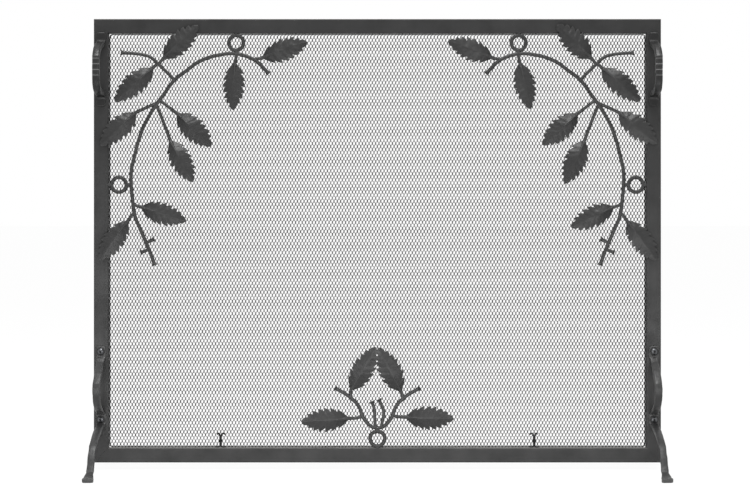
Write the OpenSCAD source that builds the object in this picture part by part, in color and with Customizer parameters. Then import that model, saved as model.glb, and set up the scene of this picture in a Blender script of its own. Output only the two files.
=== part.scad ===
// Single-panel fireplace screen: a welded steel frame backed with woven wire mesh,
// forged vines and leaves across it, two twisted pull handles and four bolted feet.
// X runs along the screen, Y from front to back and Z up; Z = 0 is the floor.

/* [Screen] */
// Overall width of the frame
screen_w = 990.6; // [860:0.1:1200]
// Height of the frame, without its ground clearance
frame_h = 774.7; // [720:0.1:900]
// Clearance between the floor and the frame
floor_gap = 12.7; // [6:0.1:30]

/* [Frame tube] */
// Face width of the rectangular tube
tube_w = 25.4; // [22:0.1:30]
// Depth of the tube, front to back
tube_d = 12.7; // [12:0.1:20]
// Wall of the tube
tube_wall = 1.5; // [1:0.1:2.5]
// Outer corner radius of the tube
tube_r = 2.2; // [1:0.1:3]

/* [Mesh] */
// Thickness of the mesh wire
wire_d = 1.0; // [0.5:0.05:1.2]
// Width of one mesh diamond
mesh_pitch_x = 5.85; // [5:0.05:12]
// Height of one mesh diamond
mesh_pitch_z = 10.65; // [8:0.05:20]
// How far the edge band grips the mesh
mesh_grip = 8; // [6:0.5:10]
// Thickness of each leaf of the edge band
band_leaf = 0.7; // [0.5:0.1:1.2]
// Diameter of the screws that hold the band
screw_d = 3.5; // [3:0.1:4]

/* [Ornament] */
// Diameter of the vine rods
rod_d = 6; // [4:0.5:8]
// Outer diameter of the welded rings
ring_d = 31.4; // [26:0.1:36]
// Thickness of the ring's bar
ring_bar = 5.4; // [4:0.2:7]
// Length of a leaf blade
leaf_len = 83; // [70:1:88]
// Width of a leaf blade
leaf_w = 38; // [28:1:42]
// Thickness of a leaf along its midrib
leaf_t = 1.8; // [1.2:0.1:3]
// Slope of each half of a leaf away from its midrib, in degrees
leaf_fold = 18; // [5:1:24]
// Teeth along each side of a leaf
leaf_teeth = 8; // [5:1:9]
// Diameter of a leaf's stalk
stalk_d = 4.6; // [3:0.2:6]

/* [Handles] */
// Distance from the top of the frame to the top of a handle
handle_drop = 24; // [18:1:60]
// Height of a handle with its two tabs
handle_h = 128; // [110:1:150]
// Stand-off of the grip's axis from the frame
handle_reach = 54; // [44:1:60]
// Side of the square bar
grip_bar = 12; // [10:0.5:13]
// Width of the forged tabs
tab_w = 17; // [14:0.5:20]
// Height of each tab
tab_h = 17; // [14:0.5:22]
// Thickness of the tabs
tab_t = 3.5; // [2.5:0.1:5]
// Length of the twisted stretch
twist_len = 36; // [26:1:40]

/* [Feet] */
// Height of a leg's upper pad above the floor
leg_h = 216; // [190:1:240]
// How far the toes reach from the frame
leg_reach = 141; // [120:1:165]
// Width of the leg bar
leg_w = 12.5; // [10:0.5:16]
// Thickness of the leg bar
leg_t = 7; // [5:0.5:10]
// Width of the bolt pads
pad_w = 17; // [15:0.5:20]
// Thickness of the bolt pads
pad_t = 3.6; // [3:0.1:5]
// How far the bar bows out between the pads
leg_bow = 50; // [35:1:58]
// Width of the splayed toe
toe_w = 19; // [16:0.5:24]

/* [Bolts] */
// Diameter of the through bolts
bolt_d = 6; // [5:0.5:7]
// Diameter of the button heads
head_d = 11.4; // [10:0.1:13]
// Height of the button heads
head_h = 3.3; // [2.5:0.1:4]
// Size of the hexagon socket
socket_af = 4; // [3:0.5:5]
// Outer diameter of the washers
washer_d = 15; // [14:0.5:16]
// Thickness of the washers
washer_t = 1.2; // [0.8:0.1:2]
// Distance from the top of a leg down to its upper bolt
upper_bolt_drop = 9; // [8:0.5:12]
// Height of the lower bolt above the floor
lower_bolt_z = 88.5; // [75:0.5:100]
// Size of the nuts across their flats
nut_af = 10; // [8:0.5:11]
// Height of the nuts
nut_h = 5; // [4:0.5:6]

/* [Fits] */
// Clearance of the bolts and screws in their holes
hole_gap = 0.25; // [0.15:0.05:0.5]
// Gap at a welded seat between two rounded pieces
weld_gap = 0.15; // [0.1:0.05:0.3]

/* [Hidden] */
$fn = 48;

steel = [0.24, 0.24, 0.245];
leaf_steel = [0.30, 0.30, 0.305];
wire_steel = [0.36, 0.36, 0.36];
bright_steel = [0.55, 0.55, 0.56];

// The opening inside the frame
open_w = screen_w - 2 * tube_w;
open_h = frame_h - 2 * tube_w;
open_top = floor_gap + frame_h - tube_w;
open_bottom = floor_gap + tube_w;

// Layers from front to back. The band makes the rear feet stand further back,
// so the panel sits forward by half of it and the footprint is centred on Y = 0.
mesh_gap = 0.1;
mesh_t = 2 * wire_d + mesh_gap;
slot_t = mesh_t + 2 * mesh_gap;
band_t = slot_t + 2 * band_leaf;
panel_y = -band_t / 2;
front_y = panel_y - tube_d / 2;
back_y = panel_y + tube_d / 2;
rod_y = front_y + rod_d / 2;
stile_x = (screen_w - tube_w) / 2;

// ---------- Curves ----------

// One point of the smooth curve between b and c
function curve_point(a, b, c, d, t) =
    0.5 * (2 * b + (c - a) * t + (2 * a - 5 * b + 4 * c - d) * t * t
           + (3 * b - a - 3 * c + d) * t * t * t);

// Smooth curve through every point of p, with n steps between neighbours
function curve(p, n) = concat(
    [for (i = [0:len(p) - 2], k = [0:n - 1])
        curve_point(p[max(i - 1, 0)], p[i], p[i + 1], p[min(i + 2, len(p) - 1)], k / n)],
    [p[len(p) - 1]]);

function unit(v) = v / norm(v);
function reversed(p) = [for (i = [len(p) - 1:-1:0]) p[i]];
function last(p) = p[len(p) - 1];
function sideways(h) = [-h.y, h.x];

// Direction of a line of points at index i
function heading(p, i) = unit(p[min(i + 1, len(p) - 1)] - p[max(i - 1, 0)]);

// Index of the point of p nearest to q
function nearest(p, q) =
    let (gaps = [for (r = p) norm(r - q)])
    search(min(gaps), gaps)[0];

// Distance along p from its start to point i
function run(p, i) = i <= 0 ? 0 : norm(p[i] - p[i - 1]) + run(p, i - 1);

// Skin over rings of equal length, closed by a flat cap at each end
module skin(rings) {
    n = len(rings[0]);
    end = len(rings) - 1;
    polyhedron(
        points = [for (r = rings, p = r) p],
        faces = concat(
            [for (i = [0:end - 1], k = [0:n - 1])
                each let (a = i * n, b = a + n, m = (k + 1) % n)
                [[a + k, b + m, b + k], [a + k, a + m, b + m]]],
            [[for (k = [n - 1:-1:0]) k]],
            [[for (k = [0:n - 1]) end * n + k]]));
}

// ---------- Rods of the ornament ----------
// The ornament lies in one upright plane, so its points are pairs in that plane.

rod_sides = 8;
rod_r = rod_d / 2;
twig_d = 0.83 * rod_d;
// A rod's end is hammered out: over this length it spreads and gets thinner
flare_len = 5;
flare_spread = 1.6;
flare_thin = 0.7;

// The slant of a branch's first ring dies out over its first rings
slant_rings = 3;
function settled(slant, i) = slant * max(0, 1 - i / slant_rings);

// One ring of a round bar: half width a in the plane, half depth b across it.
// With a slant the ring lies along the side of a parent rod.
function bar_ring(c, h, a, b, slant) =
    [for (k = [0:rod_sides - 1])
        let (t = 180 - k * 360 / rod_sides, p = c + a * cos(t) * (sideways(h) + slant * h))
        [p.x, rod_y - b * sin(t), p.y]];

function flare(s, full) = s >= flare_len ? 1 : 1 + (full - 1) * pow(1 - s / flare_len, 1.2);

// Replaces the last stretch of p by the short steps of a flared end
function eased(p) =
    let (e = last(p), h = unit(e - p[len(p) - 2]))
    concat([for (q = p) if (norm(e - q) > flare_len + 1.5) q],
           [for (s = [1, 0.6, 0.25, 0]) e - h * flare_len * s]);

// A rod along p, hammered out at its start, its end or both
module rod(p, d, flare_start = false, flare_end = true, slant = 0) {
    total = run(p, len(p) - 1);
    skin([for (i = [0:len(p) - 1])
        let (s = run(p, i), e = min(flare_start ? s : total, flare_end ? total - s : total))
        bar_ring(p[i], heading(p, i), d / 2 * flare(e, flare_spread),
                 d / 2 * flare(e, flare_thin), settled(slant, i))]);
}

// Where a branch that heads from parent point i towards q leaves the parent's skin
function branch_start(parent, i, q, parent_d) =
    let (d = unit(q - parent[i]), n = sideways(heading(parent, i)))
    parent[i] + d * (parent_d / 2 + weld_gap) / abs(d * n);

// Slant that lays the first ring of a branch heading along h against parent point i
function branch_slant(parent, i, h) =
    let (n = sideways(heading(parent, i))) -(sideways(h) * n) / (h * n);

// Line of a branch: via[0] is near its parent, and it passes through the others
function branch_line(parent, via, parent_d, steps) =
    eased(curve(concat([branch_start(parent, nearest(parent, via[0]), via[1], parent_d)],
                       [for (k = [1:len(via) - 1]) via[k]]), steps));

module branch(parent, via, parent_d, steps = 3) {
    p = branch_line(parent, via, parent_d, steps);
    rod(p, twig_d, slant = branch_slant(parent, nearest(parent, via[0]), heading(p, 0)));
}

// A weld is this much thicker than the bar it is on
weld_swell = 1;

// A ring of round bar at c, with a weld of length w towards each of the angles
module ring(c, w, angles) {
    bar_line = ring_r - ring_bar / 2;
    translate([c.x, rod_y, c.y])
    rotate([-90, 0, 0]) {
        rotate_extrude()
            translate([bar_line, 0])
                circle(d = ring_bar);
        for (a = angles)
            rotate(a)
                translate([bar_line, 0, 0])
                    rotate([0, 90, 0])
                        cylinder(h = ring_bar / 2 + w - weld_gap, d = ring_bar + weld_swell);
    }
}

// ---------- Corner ornament ----------
// Points are [distance in from the stile, distance down from the top rail].

ring_r = ring_d / 2;
// Length of the weld on each side of a ring
top_weld = 0.4;
side_weld = 2.6;
top_ring = [223, ring_r + top_weld];
side_ring = [ring_r + side_weld, 264];
// The vine passes each ring on the side away from the frame
vine_crest = [top_ring.x, top_ring.y + ring_r + top_weld + rod_r];
vine_side = [side_ring.x + ring_r + side_weld + rod_r, side_ring.y];

vine_points = [
    [280, 70], [258, 48], [242, 40], vine_crest, [195, 37], [161, 47.5], [137, 64],
    [115, 81.5], [98, 104], [85, 122], [67, 151], [54.5, 180], [45.5, 214],
    [vine_side.x + 0.5, 238], vine_side, [42, 290], [46, 318], [56.5, 344], [69.5, 374], [81, 405]];
vine = eased(reversed(eased(reversed(curve(vine_points, 3)))));

// The twig runs from the vine to the corner, and two leaves grow where it crosses them
twig_via = [[116, 80], [104, 69], [87, 52], [69, 40], [52, 35.5], [22, 33.5]];
twig = branch_line(vine, twig_via, rod_d, 3);

// Two short nubs near the foot of the vine
nub_vias = [[[65, 366], [80, 359]], [[70, 377.5], [56, 382.5]]];

// Leaves: what they grow from (0 the vine, 1 the twig), where, a point that the stalk
// passes, where the blade starts, its heading, and the extra turn of the right-hand one
corner_leaves = [
    [1, [88, 52], [92, 47], [96, 43], -42.5, -1],
    [1, [86, 51], [81, 56], [77, 60.5], 138, 0],
    [0, [224, 36], [222.5, 43.5], [221, 51], 92, 10],
    [0, [252, 45], [261, 44], [269, 42], -19, -1],
    [0, [89, 116], [106, 129], [120, 140], 43.5, -2],
    [0, [84, 126], [97, 157], [108, 187], 61, 4],
    [0, [81, 127], [66, 128], [47, 138.5], 136, 4],
    [0, [43, 298], [50, 301], [57, 303], 17, 8],
    [0, [45.5, 312], [39, 320], [33, 328], 125, 1]];

// Brings a corner's plane to the left-hand corner, or mirrors it to the right
module at_corner(right) {
    mirror([right ? 1 : 0, 0, 0])
        translate([-open_w / 2, 0, open_top])
            mirror([0, 0, 1])
                children();
}

module corner_vine(right) {
    color(steel) at_corner(right) rod(vine, rod_d, flare_start = true);
}

module corner_twig(right) {
    color(steel) at_corner(right) branch(vine, twig_via, rod_d);
}

module corner_nubs(right) {
    color(steel) at_corner(right)
        for (via = nub_vias)
            branch(vine, via, rod_d, 1);
}

module corner_top_ring(right) {
    color(steel) at_corner(right) ring(top_ring, top_weld, [90, -90]);
}

module corner_side_ring(right) {
    color(steel) at_corner(right) ring(side_ring, side_weld, [0, 180]);
}

module corner_leaf(n, right) {
    l = corner_leaves[n - 1];
    parent = l[0] == 1 ? twig : vine;
    color(leaf_steel) at_corner(right)
        leaf(parent, l[0] == 1 ? twig_d : rod_d, l[1], l[2], l[3], l[4] + (right ? l[5] : 0));
}

// ---------- Bottom ornament ----------
// Points are [distance from the middle, height above the bottom rail].

sprig_ring = [0, ring_r + top_weld];
stem_foot = 2 * ring_r + top_weld + rod_r + weld_gap;
stem_points = [
    [weld_gap, stem_foot], [6, stem_foot + 0.8], [13, stem_foot + 4.2], [21, 47.5], [27, 57.5],
    [30.5, 68.5], [36, 77.5], [44.5, 85.5], [53, 92.5], [63, 98.5], [75, 105]];
stem = eased(curve(stem_points, 2));
// The short twigs between the stems, for the left and the right stem
sprig_vias = [[[4, 36.5], [4.5, 50], [5, 62], [6.5, 72], [10, 81]],
              [[6.5, 37], [9, 48], [11, 58.5], [9.5, 70], [2.5, 85]]];
// Leaves: 1 on the left-hand stem, where on the stem, a point of the stalk, the start
// of the blade, its heading
sprig_leaves = [
    [1, [27, 54.5], [38, 52], [50, 51.5], -3],
    [1, [44.5, 85.5], [45.5, 93], [45, 101], 121],
    [0, [43, 84], [43.5, 91.5], [40.5, 98.5], 117],
    [0, [28, 56], [39, 54], [50, 53.5], -1]];

// Brings the bottom ornament's plane to the bottom rail, for either side
module at_bottom(left) {
    mirror([left ? 1 : 0, 0, 0])
        translate([0, 0, open_bottom])
            children();
}

module sprig_stem(left) {
    h = heading(stem, 0);
    color(steel) at_bottom(left) rod(stem, rod_d, slant = h.y / h.x);
}

module sprig_leaf(n) {
    l = sprig_leaves[n - 1];
    color(leaf_steel) at_bottom(l[0] == 1) leaf(stem, rod_d, l[1], l[2], l[3], l[4]);
}

module bottom_ring() {
    color(steel) at_bottom(false) ring(sprig_ring, top_weld, [90, -90]);
}

module bottom_twigs() {
    color(steel)
        for (k = [0, 1])
            at_bottom(k == 0) branch(stem, sprig_vias[k], rod_d, 2);
}

// ---------- Leaves ----------

// The blade stands far enough forward for its edges to pass in front of the frame
leaf_lift = rod_r + leaf_w / 2 * tan(leaf_fold) + leaf_t + 0.6;
leaf_edge_t = 0.8;
leaf_tip_w = 0.8;
// The teeth start at a share of the blade's length and run over another share. Each one
// rises from its notch to a point at tooth_point of its own length.
teeth_from = 0.03;
teeth_over = 0.93;
tooth_point = 0.72;
tooth_depth = 0.13;
// The stalk spreads into the blade over this length
neck_len = 8;
// How far the veins lean towards the tip, and how deep the blade dips between them
vein_lean = 0.45;
vein_dip = 0.7;
// Powers that shape the rounded base and the pointed tip
base_power = 0.5;
tip_power = 0.85;
widest = base_power / (base_power + tip_power);

function leaf_curve(s) = pow(s, base_power) * pow(1 - s, tip_power);
function leaf_half(s) = leaf_w / 2 * leaf_curve(s) / leaf_curve(widest);

// How far the midrib stands forward: it rises early and dips towards the tip
function leaf_rise(s) = leaf_lift * (s < 0.4 ? sin(225 * s) : 1 - 0.3 * pow((s - 0.4) / 0.6, 2));

// One ring of a leaf, blended from a round stalk (m = 0) to a folded blade (m = 1).
// c is on the midrib, h its heading, w the half width, y the depth, dip the hollow.
function leaf_ring(c, h, w, y, dip, m, slant = 0) =
    let (e = w * tan(leaf_fold), r = stalk_d / 2, q = r * sqrt(0.5),
         stalk = [[-r, 0], [-q, q], [0, r], [q, q], [r, 0], [q, -q], [0, -r], [-q, -q]],
         blade = [[-w, -e], [-w / 2, -e / 2 - dip], [0, 0], [w / 2, -e / 2 - dip], [w, -e],
                  [w - 0.2, -e - leaf_edge_t], [0, -leaf_t], [0.2 - w, -e - leaf_edge_t]])
    [for (k = [0:7])
        let (a = stalk[k] * (1 - m) + blade[k] * m,
             p = c + a.x * sideways(h) + (abs(a.x) * vein_lean * m + a.x * slant) * h)
        [p.x, y - a.y, p.y]];

// A serrated leaf. Its stalk leaves a parent line near q and passes mid to base,
// where the blade starts along the angle.
module leaf(parent, parent_d, q, mid, base, angle) {
    i = nearest(parent, q);
    h = [cos(angle), sin(angle)];
    stalk = curve([branch_start(parent, i, mid, parent_d), mid, base, base + neck_len * h], 2);
    foot_slant = branch_slant(parent, i, heading(stalk, 0));
    feet = [for (k = [0:3])
        leaf_ring(stalk[k], heading(stalk, k), 0, rod_y, 0, 0, settled(foot_slant, k))];
    shoulder = leaf_ring(base, h, stalk_d / 2 + 0.8, rod_y, 0, 0.6);
    teeth = [for (k = [0:leaf_teeth - 1], tooth = [0, 1])
        let (s = teeth_from + teeth_over * (k + tooth_point * tooth) / leaf_teeth)
        leaf_ring(base + s * leaf_len * h, h, leaf_half(s) * (1 - tooth_depth * (1 - tooth)),
                  rod_y - leaf_rise(s), vein_dip * (tooth - 0.4), 1)];
    tip = leaf_ring(base + leaf_len * h, h, leaf_tip_w, rod_y - leaf_rise(1), 0, 1);
    skin(concat(feet, [shoulder], teeth, [tip]));
}

// ---------- Frame ----------

module tube_profile(d, w, r) {
    square([d - 2 * r, w], center = true);
    square([d, w - 2 * r], center = true);
    for (x = [-1, 1], y = [-1, 1])
        translate([x * (d / 2 - r), y * (w / 2 - r)])
            circle(r);
}

// Cuts a member of length l along X to 45 degree mitres, longest at z = top
module mitred(l, top) {
    difference() {
        children();
        for (s = [-1, 1])
            translate([s * l / 2, 0, top])
                rotate([0, s * 45, 0])
                    translate([s * l / 2, 0, 0])
                        cube(l, center = true);
    }
}

// Lays a profile along X, its X axis turned to Y and its Y axis to Z
module along_x(l) {
    rotate([90, 0, 90])
        linear_extrude(l, center = true)
            children();
}

// One member of the frame, its outer edge up
module tube_member(l) {
    mitred(l, tube_w / 2)
        difference() {
            along_x(l) tube_profile(tube_d, tube_w, tube_r);
            along_x(l + 2) tube_profile(tube_d - 2 * tube_wall, tube_w - 2 * tube_wall, tube_r / 2);
        }
}

// Holes through a stile, its band and its leg pads
module bolt_holes(side) {
    for (z = [lower_bolt_z, upper_bolt_z])
        translate([side * stile_x, 0, z])
            rotate([90, 0, 0])
                cylinder(h = 8 * tube_d, d = bolt_d + 2 * hole_gap, center = true);
}

// Holes for the band's screws, through the back wall of the tube
module screw_holes() {
    for (p = screw_places)
        translate([p.x, back_y, p.y])
            rotate([90, 0, 0])
                cylinder(h = 2 * band_t + 2 * tube_wall + 1, d = screw_d + 2 * hole_gap, center = true);
}

module stile(side) {
    color(steel)
    difference() {
        translate([side * stile_x, panel_y, floor_gap + frame_h / 2])
            rotate([0, side * 90, 0])
                tube_member(frame_h);
        bolt_holes(side);
        screw_holes();
    }
}

module frame_left_stile() { stile(-1); }
module frame_right_stile() { stile(1); }

module frame_top_rail() {
    color(steel)
    difference() {
        translate([0, panel_y, open_top + tube_w / 2]) tube_member(screen_w);
        screw_holes();
    }
}

module frame_bottom_rail() {
    color(steel)
    difference() {
        translate([0, panel_y, open_bottom - tube_w / 2])
            rotate([0, 180, 0])
                tube_member(screen_w);
        screw_holes();
    }
}

// ---------- Mesh and its edge bands ----------

mesh_y = back_y + band_t / 2;
mesh_slope = mesh_pitch_z / mesh_pitch_x;
// The wires turn back inside a selvedge, which lies in the slot of the bands
selvedge_w = 4;
selvedge_end = mesh_grip - 0.2;
wires_end = selvedge_end - selvedge_w / 2;
wires_w = open_w + 2 * wires_end;
wires_h = open_h + 2 * wires_end;
wire_count = floor((wires_w + wires_h / mesh_slope) / mesh_pitch_x / 2) - 1;

// Both ends of the slanting wire that crosses the middle line at i pitches
function wire_ends(i) =
    let (x = i * mesh_pitch_x, reach = wires_h / 2 / mesh_slope,
         a = max(x - reach, -wires_w / 2), b = min(x + reach, wires_w / 2))
    [[a, (a - x) * mesh_slope], [b, (b - x) * mesh_slope]];

// One wire that runs to and fro across the whole opening
wire_route = [for (i = [-wire_count:wire_count])
    each i % 2 == 0 ? wire_ends(i) : reversed(wire_ends(i))];

// Offset of a route's outline at point i, for a half width of 1
function miter(p, i) =
    let (n = len(p) - 1,
         a = sideways(unit(p[max(i, 1)] - p[max(i - 1, 0)])),
         b = sideways(unit(p[min(i + 1, n)] - p[min(i, n - 1)])))
    (a + b) / (1 + a * b);

wire_outline = concat(
    [for (i = [0:len(wire_route) - 1]) wire_route[i] + miter(wire_route, i) * wire_d / 2],
    reversed([for (i = [0:len(wire_route) - 1]) wire_route[i] - miter(wire_route, i) * wire_d / 2]));

module wire_layer() {
    rotate([90, 0, 0])
        linear_extrude(wire_d, center = true)
            polygon(wire_outline);
}

module woven_mesh() {
    color(wire_steel)
    translate([0, mesh_y, floor_gap + frame_h / 2]) {
        translate([0, -(wire_d + mesh_gap) / 2, 0]) wire_layer();
        translate([0, (wire_d + mesh_gap) / 2, 0]) mirror([1, 0, 0]) wire_layer();
        difference() {
            cube([open_w + 2 * selvedge_end, mesh_t + mesh_gap, open_h + 2 * selvedge_end],
                 center = true);
            cube([open_w + 2 * (selvedge_end - selvedge_w), 2 * band_t,
                  open_h + 2 * (selvedge_end - selvedge_w)], center = true);
        }
    }
}

// The band stops short of the tube's edges
band_inset = 0.6;
band_w = tube_w - tube_r - band_inset;
band_outer = band_inset + band_w;

// Screws along the rails and the stiles
rail_screws = 5;
stile_screws = 3;
screw_line = band_inset + mesh_grip + (band_w - mesh_grip) / 2;
screw_places = concat(
    [for (k = [0:rail_screws - 1], s = [-1, 1])
        [open_w * ((k + 0.5) / rail_screws - 0.5),
         floor_gap + frame_h / 2 + s * (open_h / 2 + screw_line)]],
    [for (k = [0:stile_screws - 1], s = [-1, 1])
        [s * (open_w / 2 + screw_line), open_bottom + open_h * (k + 0.45) / stile_screws]]);

// Folded band along X, its outer edge up; the mesh enters its slot from below
module band_member(l) {
    mitred(l, band_w / 2)
        along_x(l)
            difference() {
                square([band_t, band_w], center = true);
                translate([0, -band_w / 2])
                    square([slot_t, 2 * (mesh_grip - band_inset)], center = true);
            }
}

module band_at(turn, away, l) {
    color(steel)
    difference() {
        translate([0, mesh_y, floor_gap + frame_h / 2])
            rotate([0, turn, 0])
                translate([0, 0, away + band_inset + band_w / 2])
                    band_member(l + 2 * band_outer);
        screw_holes();
        for (side = [-1, 1])
            bolt_holes(side);
    }
}

module mesh_band_top() { band_at(0, open_h / 2, open_w); }
module mesh_band_bottom() { band_at(180, open_h / 2, open_w); }
module mesh_band_left() { band_at(-90, open_w / 2, open_h); }
module mesh_band_right() { band_at(90, open_w / 2, open_h); }

screw_head_h = 2;
module mesh_band_screws() {
    color(bright_steel)
    for (p = screw_places)
        translate([p.x, back_y + band_t, p.y])
            rotate([90, 0, 0]) {
                translate([0, 0, -screw_head_h])
                    cylinder(h = screw_head_h, d = 2 * screw_d);
                cylinder(h = band_t + tube_wall + 1, d = screw_d);
            }
}

// Wire ties that hold the mesh down to the bottom rail. Each is a pair of wires that
// starts flat on the rail, is twisted together and ends in two arms hooked in the mesh.
tie_x = 274.5;
tie_wire = 1.6;
tie_h = 20;
tie_turns = 3;
tie_foot = 10;
tie_arm = 4;

// Path of one wire of a tie, which is half a turn behind the other
function tie_path(s) = concat(
    [[s * tie_foot, 0, 0], [s * 0.25 * tie_foot, 0, 0]],
    [for (k = [0:6 * tie_turns])
        let (a = 60 * k, r = s * (tie_wire + 0.1) / 2)
        [r * cos(a), r * sin(a), 2 + (tie_h - 2) * k / (6 * tie_turns)]],
    [[s * 0.6 * tie_arm, 0, tie_h + 0.5 * tie_arm], [s * 1.2 * tie_arm, 0, tie_h + 0.85 * tie_arm]]);

// One ring of a thin wire along a path in space
function wire_ring(p, i) =
    let (t = unit(p[min(i + 1, len(p) - 1)] - p[max(i - 1, 0)]),
         a = unit(cross(t, [0, 1, 0])), b = cross(t, a))
    [for (k = [0:4]) p[i] + tie_wire / 2 * (a * cos(72 * k) + b * sin(72 * k))];

module mesh_tie(side) {
    color([0.08, 0.08, 0.08])
    translate([side * tie_x, mesh_y - mesh_t / 2 - tie_wire - 0.2, open_bottom + tie_wire / 2 + 0.1])
        for (s = [-1, 1])
            skin([for (i = [0:len(tie_path(s)) - 1]) wire_ring(tie_path(s), i)]);
}

module left_mesh_tie() { mesh_tie(-1); }
module right_mesh_tie() { mesh_tie(1); }

// ---------- Forged bars ----------
// A station of a bar holds [reach from the frame, height above the floor, width,
// thickness, twist].

// Hammering takes each edge of a bar off by this share of its thinner side
edge_cut = 0.2;

// One ring of a bar at station q, where the bar heads along h in its upright plane.
// Nothing goes behind the frame's face or below the floor.
function forged_ring(q, h, eased_edges) =
    let (w = q[2] / 2, t = q[3] / 2, c = edge_cut * min(q[2], q[3]), n = [h.y, -h.x],
         half = eased_edges ? [[w, t - c], [w - c, t], [c - w, t], [-w, t - c]]
                            : [[w, t], [-w, t]])
    [for (p = concat(half, -half))
        let (u = p.x * cos(q[4]) - p.y * sin(q[4]), v = p.x * sin(q[4]) + p.y * cos(q[4]))
        [u, -max(0, q[0] + v * n.x), max(0, q[1] + v * n.y)]];

module forged_bar(stations, eased_edges) {
    line = [for (q = stations) [q[0], q[1]]];
    skin([for (i = [0:len(stations) - 1])
        forged_ring(stations[i], heading(line, i), eased_edges)]);
}

// The rounded end of a pad or tab of width w and thickness t, from its tip at height z.
// down is 1 where the bar hangs from this end and -1 where it stands on it.
function rounded_end(z, w, t, down) =
    [for (p = [[0, 0.45], [0.6, 0.72], [2.2, 0.9], [5, 1]])
        [t / 2, z - down * p[0], p[1] * w, t, 0]];

// ---------- Handles ----------

handle_top = floor_gap + frame_h - handle_drop;
handle_z = handle_top - handle_h / 2;
arm_drop = (handle_h - twist_len) / 2 - tab_h;
// The middle of the bar is twisted by this many degrees, in this many steps
twist = 360;
twist_steps = 16;

// Arms from the tab to the grip: [share of the reach, share of the drop, thickness].
// The upper arm slopes, and the lower one is squarer.
upper_arm = [
    [0.06, 1, 1.5 * tab_t], [0.17, 0.85, 0.75 * grip_bar], [0.37, 0.73, 0.9 * grip_bar],
    [0.56, 0.635, grip_bar], [0.7, 0.525, grip_bar], [0.82, 0.38, grip_bar],
    [0.915, 0.195, grip_bar]];
lower_arm = [
    [0.06, 1, 1.5 * tab_t], [0.17, 0.87, 0.75 * grip_bar], [0.37, 0.8, 0.9 * grip_bar],
    [0.56, 0.765, grip_bar], [0.72, 0.695, grip_bar], [0.85, 0.58, grip_bar],
    [0.94, 0.405, grip_bar], [0.985, 0.205, grip_bar]];

// The bar narrows from the tab's width to its own over the first part of an arm
function arm_width(out) = grip_bar + (tab_w - grip_bar) * max(0, 1 - out / 0.35);

// Stations of an arm, from its tab to the grip; up is 1 above the grip and -1 below
function arm(shares, up) = concat(
    rounded_end(handle_z + up * handle_h / 2, tab_w, tab_t, up),
    concat(
        [[tab_t / 2, handle_z + up * (twist_len / 2 + arm_drop + 5), tab_w, tab_t, 0]],
        [for (q = shares)
            [q[0] * handle_reach, handle_z + up * (twist_len / 2 + q[1] * arm_drop),
             arm_width(q[0]), q[2], 0]],
        [[handle_reach, handle_z + up * twist_len / 2, grip_bar, grip_bar, 0]]));

// The left-hand handle is the mirror image of the right-hand one
module handle(left) {
    color(steel)
    mirror([left ? 1 : 0, 0, 0])
        translate([stile_x, front_y, 0])
            forged_bar(concat(
                arm(lower_arm, -1),
                [for (k = [1:twist_steps - 1])
                    [handle_reach, handle_z + (k / twist_steps - 0.5) * (twist_len - 4),
                     grip_bar, grip_bar, k / twist_steps * twist]],
                reversed(arm(upper_arm, 1))), eased_edges = true);
}

module left_handle() { handle(true); }
module right_handle() { handle(false); }

// ---------- Feet ----------

pad_half = 12;
upper_bolt_z = leg_h - upper_bolt_drop;
bow_low = lower_bolt_z + pad_half;
bow_high = upper_bolt_z - pad_half;
// A rear foot bows out less than a front one, by this share
rear_bow = 0.45;

// The bow from its top down: [share of its height, share of its reach]
bow_shares = [
    [0.93, 0.12], [0.84, 0.34], [0.757, 0.57], [0.66, 0.78], [0.56, 0.955], [0.45, 1],
    [0.343, 0.965], [0.225, 0.82], [0.16, 0.69], [0.09, 0.47], [0.035, 0.2]];

// The sweep from the lower pad to the toe: [share of the reach, share of the pad's height].
// A front foot arches out over the hearth, and a rear one keeps low.
front_sweep = [
    [0.035, 1.03], [0.085, 1.005], [0.17, 0.98], [0.285, 0.935], [0.4, 0.87], [0.515, 0.79],
    [0.605, 0.69], [0.67, 0.58], [0.715, 0.468], [0.757, 0.344], [0.802, 0.22], [0.84, 0.155]];
rear_sweep = [
    [0.035, 0.88], [0.11, 0.66], [0.22, 0.47], [0.38, 0.32], [0.56, 0.215], [0.72, 0.145],
    [0.82, 0.11]];

// The toe: [share of the reach, height, width, thickness] as shares of the bar or the toe.
// What would lie below the floor is hammered flat into the sole.
toe_shares = [
    [0.9, 1.06, 0.81, 1.06], [0.943, 0.56, 0.9, 1.4], [0.972, 0.53, 0.98, 1.34],
    [0.993, 0.5, 0.98, 1.24], [1, 0.55, 0.8, 0.9]];

function leg_stations(rear) = concat(
    rounded_end(leg_h, pad_w, pad_t, 1),
    [[pad_t / 2, bow_high + 2, pad_w, pad_t, 0]],
    [for (q = bow_shares)
        [pad_t / 2 + q[1] * leg_bow * (rear ? rear_bow : 1), bow_low + q[0] * (bow_high - bow_low),
         leg_w, q[1] < 0.15 ? 0.75 * leg_t : leg_t, 0]],
    [[pad_t / 2, bow_low - 3, pad_w, pad_t, 0],
     [pad_t / 2, lower_bolt_z - pad_half + 6, pad_w, pad_t, 0]],
    [for (q = rear ? rear_sweep : front_sweep)
        [q[0] * leg_reach, q[1] * (lower_bolt_z - pad_half),
         q[0] < 0.05 ? 0.9 * pad_w : leg_w, q[0] < 0.05 ? 0.7 * leg_t : leg_t, 0]],
    [for (q = toe_shares)
        [q[0] * leg_reach, q[1] * leg_t, q[2] * toe_w, q[3] * leg_t, 0]]);

module leg(side, rear) {
    color(steel)
    difference() {
        translate([side * stile_x, rear ? back_y + band_t : front_y, 0])
            mirror([0, rear ? 1 : 0, 0])
                forged_bar(leg_stations(rear), eased_edges = false);
        bolt_holes(side);
    }
}

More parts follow.
